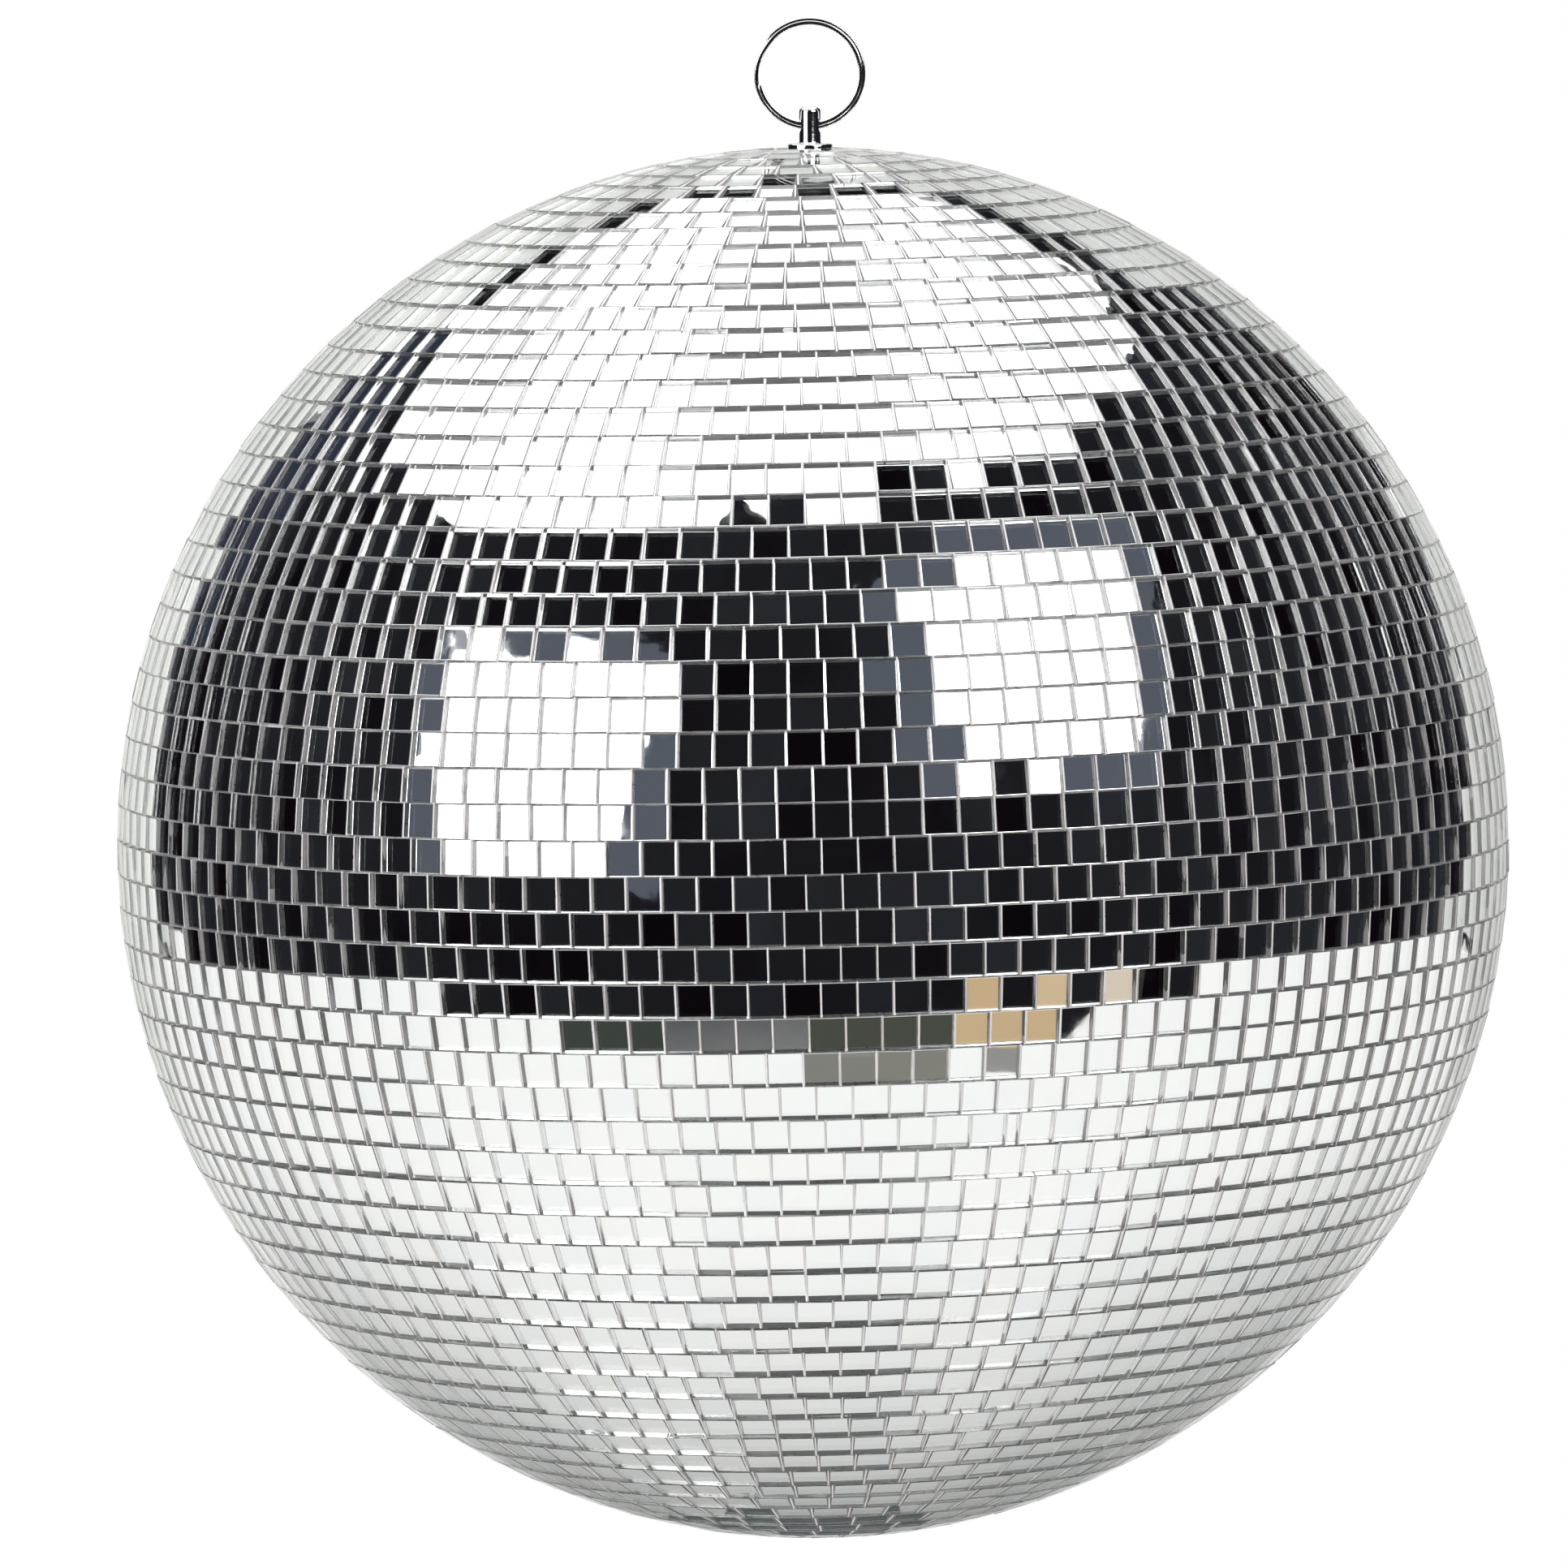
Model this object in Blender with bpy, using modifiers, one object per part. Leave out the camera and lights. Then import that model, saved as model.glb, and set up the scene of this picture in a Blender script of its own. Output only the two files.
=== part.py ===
"""Mirror ball, 400 mm over the mirrors, hung by a split ring through a drilled stud.

Frame: metres, +Z up. The origin is the point inside the top of the split ring where a hook bears,
the ring lies in the XZ plane, and the ball's axis hangs down the Z axis.
"""

import math

import bmesh
import bpy

MM = 0.001

# Mirror ball
BALL_RADIUS = 200.0 * MM
GLASS_THICKNESS = 2.0 * MM
CORE_OUTER_RADIUS = 197.4 * MM
CORE_INNER_RADIUS = 194.8 * MM
BALL_CENTRE_Z = -235.0 * MM
ROUND_STEPS = 40
ARC_STEPS = 9

# Rows of mirrors. They were laid from a seam just under the equator and run slightly off the axis.
ROW_PITCH = math.radians(2.826)
LOWEST_ROW_EDGE = math.radians(-85.52)
ROW_COUNT = 61
ROWS_PER_BAND = 2
ROW_TILT = math.radians(-1.1)

# Split ring
RING_INNER_RADIUS = 14.0 * MM
WIRE_WIDTH = 1.2 * MM
WIRE_THICKNESS = 1.0 * MM
COIL_RADIAL_STEP = 0.8 * MM
COIL_AXIAL_STEP = 1.24 * MM
CROSSING_START = math.radians(142)
CROSSING_END = math.radians(192)
WIRE_POINT_STEP = math.radians(8)

# Hanger stud, heights measured from the ball's centre
STUD_RADIUS = 3.175 * MM
STUD_TOP = 211.5 * MM
FLANGE_RADIUS = 6.6 * MM
FLANGE_TOP = 201.0 * MM
FLANGE_BOTTOM = 197.7 * MM
CROSS_HOLE_RADIUS = 2.1 * MM
CROSS_HOLE_Z = -29.0 * MM
THREAD_RADIUS = 3.0 * MM
STUD_END = 166.5 * MM

# Fasteners, heights measured from the ball's centre
GAP = 0.3 * MM
CLEARANCE_RADIUS = 3.3 * MM
NUT_FLATS = 10.0 * MM
NUT_HEIGHT = 5.0 * MM
SHELL_HOLE_RADIUS = 3.5 * MM
TOP_PAD_RADIUS = 28.0 * MM
TOP_PAD = 190.0 * MM
PLATE_RADIUS = 24.0 * MM
PLATE_THICKNESS = 2.5 * MM
LOCK_WASHER_RADIUS = 5.9 * MM
LOCK_WASHER_THICKNESS = 1.5 * MM
COUPLING_TOP = 176.0 * MM
COUPLING_HEIGHT = 20.0 * MM
ROD_TOP = 165.5 * MM
ROD_BOTTOM = -199.2 * MM
RECESS_FLOOR = -190.5 * MM
RECESS_FLOOR_RADIUS = 10.4 * MM
RECESS_MOUTH_RADIUS = 11.2 * MM
BOTTOM_PAD = -186.5 * MM
BOTTOM_PAD_RADIUS = 17.0 * MM
BOTTOM_WASHER_RADIUS = 9.0 * MM
BOTTOM_WASHER_THICKNESS = 1.6 * MM
JOINT_RING_RADIUS = 193.2 * MM
JOINT_RING_THICKNESS = 2.5 * MM
JOINT_RING_HALF_HEIGHT = 12.0 * MM


def clear_scene():
    for item in list(bpy.data.objects):
        bpy.data.objects.remove(item, do_unlink=True)


def make_collection(name):
    collection = bpy.data.collections.new(name)
    bpy.context.scene.collection.children.link(collection)
    return collection


def make_material(name, colour, roughness, metallic):
    material = bpy.data.materials.new(name)
    material.use_nodes = True
    shader = material.node_tree.nodes["Principled BSDF"]
    shader.inputs["Base Color"].default_value = (*colour, 1.0)
    shader.inputs["Roughness"].default_value = roughness
    shader.inputs["Metallic"].default_value = metallic
    return material


def place(item, collection, parent=None, height=0.0):
    """Links an object and sets it on the ball's axis at this world height, under its parent."""
    collection.objects.link(item)
    item.parent = parent
    item.location.z = height - (parent.location.z if parent else 0.0)
    return item


def turned(name, profile, collection, material=None, parent=None, closed=False, height=BALL_CENTRE_Z):
    """Turns a profile of (radius, height) points, which runs down its outer side, about Z."""
    mesh = bpy.data.meshes.new(name)
    shape = bmesh.new()
    points = [shape.verts.new((radius, 0.0, z)) for radius, z in profile]
    for first, second in zip(points, points[1:]):
        shape.edges.new((first, second))
    if closed:
        shape.edges.new((points[-1], points[0]))
    shape.to_mesh(mesh)
    shape.free()
    item = place(bpy.data.objects.new(name, mesh), collection, parent, height)
    screw = item.modifiers.new("Turn", "SCREW")
    screw.steps = ROUND_STEPS
    screw.render_steps = ROUND_STEPS
    screw.use_merge_vertices = True
    screw.merge_threshold = 0.00001
    if material:
        mesh.materials.append(material)
    return item


def turned_ring(name, outer, inner, top, bottom, collection, material=None, parent=None):
    profile = [(outer, top), (outer, bottom), (inner, bottom), (inner, top)]
    return turned(name, profile, collection, material, parent, closed=True)


def cylinder(name, radius, depth, collection, segments=ROUND_STEPS):
    mesh = bpy.data.meshes.new(name)
    shape = bmesh.new()
    bmesh.ops.create_cone(
        shape, cap_ends=True, segments=segments, radius1=radius, radius2=radius, depth=depth
    )
    shape.to_mesh(mesh)
    shape.free()
    item = bpy.data.objects.new(name, mesh)
    collection.objects.link(item)
    return item


def as_cutter(item):
    item.hide_render = True
    item.display_type = "WIRE"
    return item


def boolean(item, cutter, operation):
    modifier = item.modifiers.new(cutter.name, "BOOLEAN")
    modifier.operation = operation
    modifier.object = as_cutter(cutter)


def arc(radius, start, end, steps):
    """Points of a circle about the ball's centre, from one latitude to another."""
    angles = [start + (end - start) * step / steps for step in range(steps + 1)]
    return [(radius * math.cos(angle), radius * math.sin(angle)) for angle in angles]


def on_sphere(radius, distance):
    """Latitude on a sphere at a given distance from its axis."""
    return math.acos(distance / radius)


def smooth_step(value):
    value = min(max(value, 0.0), 1.0)
    return value * value * (3.0 - 2.0 * value)


def make_split_ring(material, parts):
    """Flat wire wound almost twice round, stepping to the second coil at the crossing."""
    sweep = 4.0 * math.pi - (CROSSING_END - CROSSING_START)
    count = round(sweep / WIRE_POINT_STEP) + 1
    first_coil = RING_INNER_RADIUS + WIRE_WIDTH / 2
    points = []
    for index in range(count):
        travelled = sweep * index / (count - 1)
        angle = CROSSING_END + travelled
        past_crossing = angle - (CROSSING_START + 2.0 * math.pi)
        share = smooth_step(past_crossing / (CROSSING_END - CROSSING_START))
        radius = first_coil + COIL_RADIAL_STEP * share
        side = COIL_AXIAL_STEP * (0.5 - share)
        points.append((radius * math.cos(angle), radius * math.sin(angle), side))

    section = bpy.data.curves.new("wire_section", "CURVE")
    section.dimensions = "2D"
    outline = section.splines.new("POLY")
    corners = []
    for quarter in range(4):
        along = WIRE_WIDTH / 2 if quarter in (0, 3) else -WIRE_WIDTH / 2
        across = WIRE_THICKNESS / 2 if quarter < 2 else -WIRE_THICKNESS / 2
        inset = 0.22 * MM
        first = (along - math.copysign(inset, along), across)
        second = (along, across - math.copysign(inset, across))
        corners += [second, first] if quarter in (0, 2) else [first, second]
    outline.points.add(len(corners) - 1)
    for point, (x, y) in zip(outline.points, reversed(corners)):
        point.co = (x, y, 0.0, 1.0)
    outline.use_cyclic_u = True
    section_object = as_cutter(bpy.data.objects.new("wire_section", section))

    curve = bpy.data.curves.new("split_ring", "CURVE")
    curve.dimensions = "3D"
    curve.twist_mode = "Z_UP"
    curve.bevel_mode = "OBJECT"
    curve.bevel_object = section_object
    curve.use_fill_caps = True
    wire = curve.splines.new("POLY")
    wire.points.add(count - 1)
    for point, (x, y, z) in zip(wire.points, points):
        point.co = (x, y, z, 1.0)
    curve.materials.append(material)
    ring = place(bpy.data.objects.new("split_ring", curve), parts, height=-RING_INNER_RADIUS)
    ring.rotation_euler.x = math.pi / 2
    return section_object


def make_hanger_stud(material, parts, cutters, parent):
    dome = 1.4 * MM
    chamfer = 0.4 * MM
    profile = [(0.0, STUD_TOP)]
    for step in range(1, 5):
        turn = math.pi / 2 * step / 4
        reach = STUD_RADIUS - dome + dome * math.sin(turn)
        profile.append((reach, STUD_TOP - dome + dome * math.cos(turn)))
    profile += [
        (STUD_RADIUS, FLANGE_TOP),
        (FLANGE_RADIUS - chamfer, FLANGE_TOP),
        (FLANGE_RADIUS, FLANGE_TOP - chamfer),
        (FLANGE_RADIUS, FLANGE_BOTTOM),
        (THREAD_RADIUS, FLANGE_BOTTOM),
        (THREAD_RADIUS, STUD_END + chamfer),
        (THREAD_RADIUS - chamfer, STUD_END),
        (0.0, STUD_END),
    ]
    stud = turned("hanger_stud", profile, parts, material, parent)
    drill = cylinder("cross_hole_cutter", CROSS_HOLE_RADIUS, 20 * MM, cutters)
    drill.location.z = CROSS_HOLE_Z
    drill.rotation_euler.y = math.pi / 2
    boolean(stud, drill, "DIFFERENCE")


def make_nut(name, top, height, material, parts, cutters, parent):
    """Hexagon with both faces chamfered, bored to clear the thread."""
    corner_radius = NUT_FLATS / math.sqrt(3)
    nut = cylinder(name, corner_radius, height, parts, segments=6)
    nut.data.materials.append(material)
    nut.parent = parent
    middle = BALL_CENTRE_Z + top - height / 2
    nut.location.z = middle - parent.location.z
    edge = corner_radius + 0.2 * MM
    flat = NUT_FLATS / 2 * 0.97
    fall = (edge - flat) * math.tan(math.radians(30))
    half = height / 2 + 0.001 * MM
    crown = [(0.0, half), (flat, half), (edge, half - fall), (edge, fall - half), (flat, -half), (0.0, -half)]
    boolean(nut, turned(name + "_crown", crown, cutters, height=middle), "INTERSECT")
    bore = cylinder(name + "_bore", CLEARANCE_RADIUS, 2 * height, cutters, segments=24)
    bore.location.z = middle
    boolean(nut, bore, "DIFFERENCE")


def make_lock_washer(top, material, parts, cutters, parent):
    bottom = top - LOCK_WASHER_THICKNESS
    washer = turned_ring(
        "top_lock_washer", LOCK_WASHER_RADIUS, 3.4 * MM, top, bottom, parts, material, parent
    )
    slot = cylinder("lock_washer_slot", 0.7 * MM, 8 * MM, cutters, segments=4)
    slot.rotation_euler.x = math.pi / 2
    slot.scale.y = 3.0
    slot.location = (0.0, 5.5 * MM, BALL_CENTRE_Z + (top + bottom) / 2)
    boolean(washer, slot, "DIFFERENCE")


def make_core(material, parts, parent):
    """Two moulded half shells, each with a thick pad at its pole, lapped inside by a ring."""
    rim = math.asin(GAP / 2 / CORE_OUTER_RADIUS)
    upper = arc(CORE_OUTER_RADIUS, on_sphere(CORE_OUTER_RADIUS, SHELL_HOLE_RADIUS), rim, ARC_STEPS)
    pad_edge = on_sphere(CORE_INNER_RADIUS, TOP_PAD_RADIUS + 3 * MM)
    upper += arc(CORE_INNER_RADIUS, rim, pad_edge, ARC_STEPS)
    upper += [(TOP_PAD_RADIUS, TOP_PAD), (SHELL_HOLE_RADIUS, TOP_PAD)]
    turned("upper_core_shell", upper, parts, material, parent, closed=True)

    mouth = on_sphere(CORE_OUTER_RADIUS, RECESS_MOUTH_RADIUS)
    lower = arc(CORE_OUTER_RADIUS, -rim, -mouth, ARC_STEPS)
    lower += [
        (RECESS_FLOOR_RADIUS, RECESS_FLOOR),
        (SHELL_HOLE_RADIUS, RECESS_FLOOR),
        (SHELL_HOLE_RADIUS, BOTTOM_PAD),
        (BOTTOM_PAD_RADIUS, BOTTOM_PAD),
    ]
    pad_edge = on_sphere(CORE_INNER_RADIUS, BOTTOM_PAD_RADIUS + 3 * MM)
    lower += arc(CORE_INNER_RADIUS, -pad_edge, -rim, ARC_STEPS)
    turned("lower_core_shell", lower, parts, material, parent, closed=True)

    turned_ring(
        "equator_joint_ring",
        JOINT_RING_RADIUS,
        JOINT_RING_RADIUS - JOINT_RING_THICKNESS,
        JOINT_RING_HALF_HEIGHT,
        -JOINT_RING_HALF_HEIGHT,
        parts,
        material,
        parent,
    )


def make_mirror_rows(material, parts, parent):
    """Strips of mirror as closed bands, two rows to a band, counted from the bottom."""
    joint = GAP / 2 / BALL_RADIUS
    inner_radius = BALL_RADIUS - GLASS_THICKNESS
    for first in range(1, ROW_COUNT + 1, ROWS_PER_BAND):
        last = min(first + ROWS_PER_BAND - 1, ROW_COUNT)
        low = LOWEST_ROW_EDGE + ROW_PITCH * (first - 1) + joint
        high = LOWEST_ROW_EDGE + ROW_PITCH * last - joint
        profile = arc(BALL_RADIUS, high, low, 1) + arc(inner_radius, low, high, 1)
        rows = f"{first:02d}" if first == last else f"{first:02d}_{last:02d}"
        band = turned(f"mirror_rows_{rows}", profile, parts, material, parent, closed=True)
        band.rotation_euler.y = ROW_TILT


def main():
    clear_scene()
    parts = make_collection("mirror_ball")
    cutters = make_collection("mirror_ball_cutters")

    chrome = make_material("ring_chrome", (0.78, 0.78, 0.76), 0.12, 1.0)
    plated = make_material("stud_plated_steel", (0.74, 0.75, 0.77), 0.1, 1.0)
    zinc = make_material("zinc_steel", (0.62, 0.63, 0.65), 0.35, 1.0)
    plastic = make_material("core_plastic", (0.82, 0.81, 0.78), 0.6, 0.0)
    mirror = make_material("mirror_glass", (0.9, 0.92, 0.93), 0.03, 1.0)

    swing_axis = bpy.data.objects.new("ball_swing_axis", None)
    swing_axis.location.z = CROSS_HOLE_Z
    parts.objects.link(swing_axis)

    cutters.objects.link(make_split_ring(chrome, parts))
    make_hanger_stud(plated, parts, cutters, swing_axis)
    make_core(plastic, parts, swing_axis)

    plate_top = TOP_PAD - GAP
    plate_bottom = plate_top - PLATE_THICKNESS
    turned_ring(
        "top_backing_plate", PLATE_RADIUS, SHELL_HOLE_RADIUS, plate_top, plate_bottom, parts, zinc, swing_axis
    )
    washer_top = plate_bottom - GAP
    make_lock_washer(washer_top, zinc, parts, cutters, swing_axis)
    nut_top = washer_top - LOCK_WASHER_THICKNESS - GAP
    make_nut("top_hex_nut", nut_top, NUT_HEIGHT, zinc, parts, cutters, swing_axis)
    make_nut("coupling_nut", COUPLING_TOP, COUPLING_HEIGHT, zinc, parts, cutters, swing_axis)

    chamfer = 0.5 * MM
    rod = [
        (0.0, ROD_TOP),
        (THREAD_RADIUS - chamfer, ROD_TOP),
        (THREAD_RADIUS, ROD_TOP - chamfer),
        (THREAD_RADIUS, ROD_BOTTOM + chamfer),
        (THREAD_RADIUS - chamfer, ROD_BOTTOM),
        (0.0, ROD_BOTTOM),
    ]
    turned("tie_rod", rod, parts, zinc, swing_axis)

    washer_top = RECESS_FLOOR - GAP
    washer_bottom = washer_top - BOTTOM_WASHER_THICKNESS
    turned_ring(
        "bottom_washer",
        BOTTOM_WASHER_RADIUS,
        CLEARANCE_RADIUS,
        washer_top,
        washer_bottom,
        parts,
        zinc,
        swing_axis,
    )
    make_nut("bottom_hex_nut", washer_bottom - GAP, NUT_HEIGHT, zinc, parts, cutters, swing_axis)
    make_mirror_rows(mirror, parts, swing_axis)


main()
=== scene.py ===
"""Finished surfaces, studio and camera for the mirror ball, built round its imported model."""

import math
import random

import bmesh
import bpy
from mathutils import Matrix, Vector, noise


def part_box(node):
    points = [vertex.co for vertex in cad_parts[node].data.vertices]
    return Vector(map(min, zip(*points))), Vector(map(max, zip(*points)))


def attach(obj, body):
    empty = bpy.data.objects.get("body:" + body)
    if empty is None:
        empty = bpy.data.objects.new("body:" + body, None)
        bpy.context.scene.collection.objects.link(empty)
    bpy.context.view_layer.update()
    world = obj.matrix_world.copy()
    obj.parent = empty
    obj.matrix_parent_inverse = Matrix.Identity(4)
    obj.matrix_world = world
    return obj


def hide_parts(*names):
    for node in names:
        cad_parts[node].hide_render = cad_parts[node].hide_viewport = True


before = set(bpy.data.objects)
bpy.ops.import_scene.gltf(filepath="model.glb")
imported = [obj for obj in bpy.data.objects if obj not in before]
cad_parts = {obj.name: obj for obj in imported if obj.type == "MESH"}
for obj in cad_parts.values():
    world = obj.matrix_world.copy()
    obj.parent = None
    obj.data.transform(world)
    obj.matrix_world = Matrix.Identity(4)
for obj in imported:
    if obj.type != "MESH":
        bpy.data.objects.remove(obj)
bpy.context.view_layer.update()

MM = 0.001

# Ball and its rows of mirrors, as the model has them
BALL_RADIUS = 200.0 * MM
GLASS_THICKNESS = 2.0 * MM
ROW_PITCH = math.radians(2.826)
LOWEST_ROW_EDGE = math.radians(-85.52)
ROW_TILT = math.radians(-1.1)

# One mirror
TILE_SIZE = 9.5 * MM
TILE_GAP = 0.45 * MM
ARRIS = 0.1 * MM
WALL_SLANT = 0.06 * MM
NARROWEST_CUT = 2.6 * MM
GLASS_IOR = 1.5

# How far hand-laid mirrors stray, as standard deviations
STRIP_LENGTH = (7, 15)
STRIP_TILT = math.radians(0.22)
STRIP_SHIFT = 0.09 * MM
TILE_TILT = math.radians(0.30)
STRAY_TILT = math.radians(1.1)
STRAY_SHARE = 0.05
TILE_TURN = math.radians(0.5)
TILE_SHIFT = 0.05 * MM
TILE_SINK = 0.05 * MM
CUT_ERROR = 0.08 * MM
ROW_WAVE = 0.08 * MM

# Core and adhesive, heights measured from the ball's centre
BED_OUTER_RADIUS = 197.6 * MM
BED_INNER_RADIUS = 197.45 * MM
JOINT_GLUE_RADIUS = 199.86 * MM
JOINT_GLUE_ROOT = 0.2 * MM
JOINT_GLUE_CLEARANCE = 0.03 * MM
JOINT_GLUE_OVERRUN = 0.3 * MM
JOINT_GLUE_UNEVEN = 0.06 * MM
CORE_OUTER_RADIUS = 197.4 * MM
CORE_INNER_RADIUS = 194.8 * MM
CORE_SEAM = 0.15 * MM
SHELL_HOLE_RADIUS = 3.5 * MM
TOP_PAD = 190.0 * MM
TOP_PAD_RADIUS = 28.0 * MM
BOTTOM_PAD = -186.5 * MM
BOTTOM_PAD_RADIUS = 17.0 * MM
PAD_FLARE = 3.0 * MM
RECESS_MOUTH_RADIUS = 11.2 * MM
RECESS_FLOOR_RADIUS = 10.4 * MM
RECESS_FLOOR = -190.5 * MM
RECESS_EASE = 0.5 * MM
BED_TOP_HOLE = 8.2 * MM
BED_BOTTOM_HOLE = 13.0 * MM
BED_SEAM = 0.0002
BED_LUMPS = ((220.0, 0.05 * MM), (60.0, 0.04 * MM))
ARC_STEPS = 48
FINE_STEPS = 160

# Hanger stud, heights measured from the ball's centre
STUD_RADIUS = 3.175 * MM
STUD_TOP = 211.5 * MM
STUD_DOME = 1.4 * MM
STUD_END = 166.5 * MM
THREAD_RADIUS = 3.0 * MM
THREAD_CHAMFER = 0.4 * MM
FLANGE_RADIUS = 6.6 * MM
FLANGE_TOP = 201.0 * MM
FLANGE_BOTTOM = 197.7 * MM
FLANGE_EASE = 0.6 * MM
CROSS_HOLE_RADIUS = 2.1 * MM
CROSS_HOLE_Z = -29.0 * MM
DRILL_LENGTH = 20.0 * MM

# Split ring
RING_INNER_RADIUS = 14.0 * MM
WIRE_WIDTH = 1.2 * MM
WIRE_THICKNESS = 1.0 * MM
COIL_RADIAL_STEP = 0.8 * MM
COIL_AXIAL_STEP = 1.24 * MM
CROSSING_START = math.radians(142)
CROSSING_END = math.radians(192)
WIRE_CORNER = 0.28 * MM
WIRE_POINTS = 460
WIRE_END_SIZES = (0.55, 0.8, 0.93, 0.99)

# Camera, as distances in ball radii
CAMERA_DISTANCE = 17.92 * BALL_RADIUS
CAMERA_AZIMUTH = math.radians(0.0)
CAMERA_ELEVATION = math.radians(4.62)
CAMERA_ROLL = math.radians(-0.25)
IMAGE_WIDTH = 1932.0
BALL_RADIUS_IN_IMAGE = 857.0
BALL_OFF_CENTRE = (35.7, -71.7)

# Studio: distances in metres, heights from the ball's centre, and strengths of light
CLOTH_HEIGHT = 1.25
CLOTH_STRENGTH = 1.6
BOX_DISTANCE = 1.9
BOX_STRENGTH = 5.5
LIP_DISTANCE = 2.7
LIP_STRENGTH = 0.16
WALL_DISTANCE = 3.4
WALL_STRENGTH = 0.07
BACKDROP_OFFSET = 2.2
TABLE_HEIGHT = -0.45
SHADOW_HEIGHT = -0.445
CLUTTER_DISTANCE = 0.62
FLOOR_HEIGHT = -0.46
FLOOR_RADIUS = 1.1


def node_inputs(shader, **values):
    for name, value in values.items():
        shader.inputs[name.replace("_", " ").title().replace("Ior", "IOR")].default_value = value


class Material:
    """A Principled material with helpers that wire up procedural patterns."""

    def __init__(self, name, colour, **values):
        self.material = bpy.data.materials.new(name)
        self.material.use_nodes = True
        self.tree = self.material.node_tree
        self.shader = self.tree.nodes["Principled BSDF"]
        self.shader.inputs["Base Color"].default_value = (*colour, 1.0)
        node_inputs(self.shader, **values)
        self.place = self.tree.nodes.new("ShaderNodeTexCoord").outputs["Object"]

    def add(self, kind, **settings):
        node = self.tree.nodes.new(kind)
        for name, value in settings.items():
            setattr(node, name, value)
        return node

    def link(self, output, socket):
        self.tree.links.new(output, socket)

    def stretched(self, scale):
        mapping = self.add("ShaderNodeMapping")
        mapping.inputs["Scale"].default_value = scale
        self.link(self.place, mapping.inputs["Vector"])
        return mapping.outputs["Vector"]

    def noise(self, scale, detail=4.0, roughness=0.55, stretch=None):
        texture = self.add("ShaderNodeTexNoise")
        texture.inputs["Scale"].default_value = scale
        texture.inputs["Detail"].default_value = detail
        texture.inputs["Roughness"].default_value = roughness
        self.link(self.stretched(stretch) if stretch else self.place, texture.inputs["Vector"])
        return texture.outputs["Fac"]

    def ramp(self, value, *stops):
        ramp = self.add("ShaderNodeValToRGB")
        while len(ramp.color_ramp.elements) < len(stops):
            ramp.color_ramp.elements.new(0.5)
        for element, (position, colour) in zip(ramp.color_ramp.elements, stops):
            element.position = position
            element.color = (*colour, 1.0) if isinstance(colour, tuple) else (colour, colour, colour, 1.0)
        self.link(value, ramp.inputs["Fac"])
        return ramp.outputs["Color"]

    def remap(self, value, low, high, start=0.0, end=1.0):
        node = self.add("ShaderNodeMapRange")
        for name, number in (("From Min", start), ("From Max", end), ("To Min", low), ("To Max", high)):
            node.inputs[name].default_value = number
        self.link(value, node.inputs["Value"])
        return node.outputs["Result"]

    def mix(self, share, first, second, blend="MIX"):
        node = self.add("ShaderNodeMix", data_type="RGBA", blend_type=blend)
        for socket, value in ((node.inputs[0], share), (node.inputs[6], first), (node.inputs[7], second)):
            if isinstance(value, bpy.types.NodeSocket):
                self.link(value, socket)
            else:
                socket.default_value = value if isinstance(value, float) else (*value, 1.0)
        return node.outputs[2]

    def bump(self, height, strength, distance):
        node = self.add("ShaderNodeBump")
        node.inputs["Strength"].default_value = strength
        node.inputs["Distance"].default_value = distance
        self.link(height, node.inputs["Height"])
        self.link(node.outputs["Normal"], self.shader.inputs["Normal"])


def silver_material():
    """Silver behind the glass: each tile a slightly different tint, a little uneven."""
    silver = Material("silvered_back", (0.93, 0.94, 0.93), metallic=1.0, roughness=0.01)
    each = silver.add("ShaderNodeNewGeometry").outputs["Random Per Island"]
    tint = silver.ramp(
        each,
        (0.0, (0.90, 0.92, 0.93)),
        (0.35, (0.945, 0.95, 0.945)),
        (0.7, (0.92, 0.94, 0.93)),
        (1.0, (0.95, 0.94, 0.925)),
    )
    cloud = silver.ramp(silver.noise(150.0, 5.0, 0.6), (0.45, 0.0), (0.8, 1.0))
    colour = silver.mix(silver.remap(cloud, 0.0, 0.1), tint, (0.7, 0.71, 0.72))
    silver.link(colour, silver.shader.inputs["Base Color"])
    silver.link(silver.remap(cloud, 0.004, 0.03), silver.shader.inputs["Roughness"])
    silver.bump(silver.noise(60.0, 2.0, 0.4), 0.04, 0.0004)
    return silver.material


def glass_face_material():
    """Clear glass with the faintest smears."""
    tint = (0.985, 0.99, 0.985)
    glass = Material("clear_glass_face", tint, roughness=0.0, ior=GLASS_IOR, transmission_weight=1.0)
    smear = glass.ramp(glass.noise(90.0, 5.0, 0.6), (0.5, 0.0), (0.8, 0.025))
    glass.link(smear, glass.shader.inputs["Roughness"])
    return glass.material


def cut_edge_material():
    """Snapped glass edges: faintly green, frosted in patches."""
    tint = (0.93, 0.965, 0.955)
    edge = Material("cut_glass_edge", tint, roughness=0.28, ior=GLASS_IOR, transmission_weight=1.0)
    grain = edge.noise(500.0, 4.0, 0.6)
    edge.link(edge.remap(grain, 0.2, 0.4), edge.shader.inputs["Roughness"])
    edge.bump(grain, 0.12, 0.0001)
    return edge.material


def adhesive_material():
    """Pale glue, a little uneven and slightly pink."""
    glue = Material("white_adhesive", (0.74, 0.71, 0.70), roughness=0.6)
    blotch = glue.noise(45.0, 5.0, 0.6)
    colour = glue.ramp(
        blotch,
        (0.3, (0.78, 0.73, 0.74)),
        (0.55, (0.89, 0.84, 0.855)),
        (0.8, (0.93, 0.895, 0.90)),
    )
    glue.link(colour, glue.shader.inputs["Base Color"])
    glue.link(glue.remap(blotch, 0.45, 0.75), glue.shader.inputs["Roughness"])
    glue.bump(glue.noise(420.0, 4.0, 0.6), 0.6, 0.0004)
    return glue.material


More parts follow.
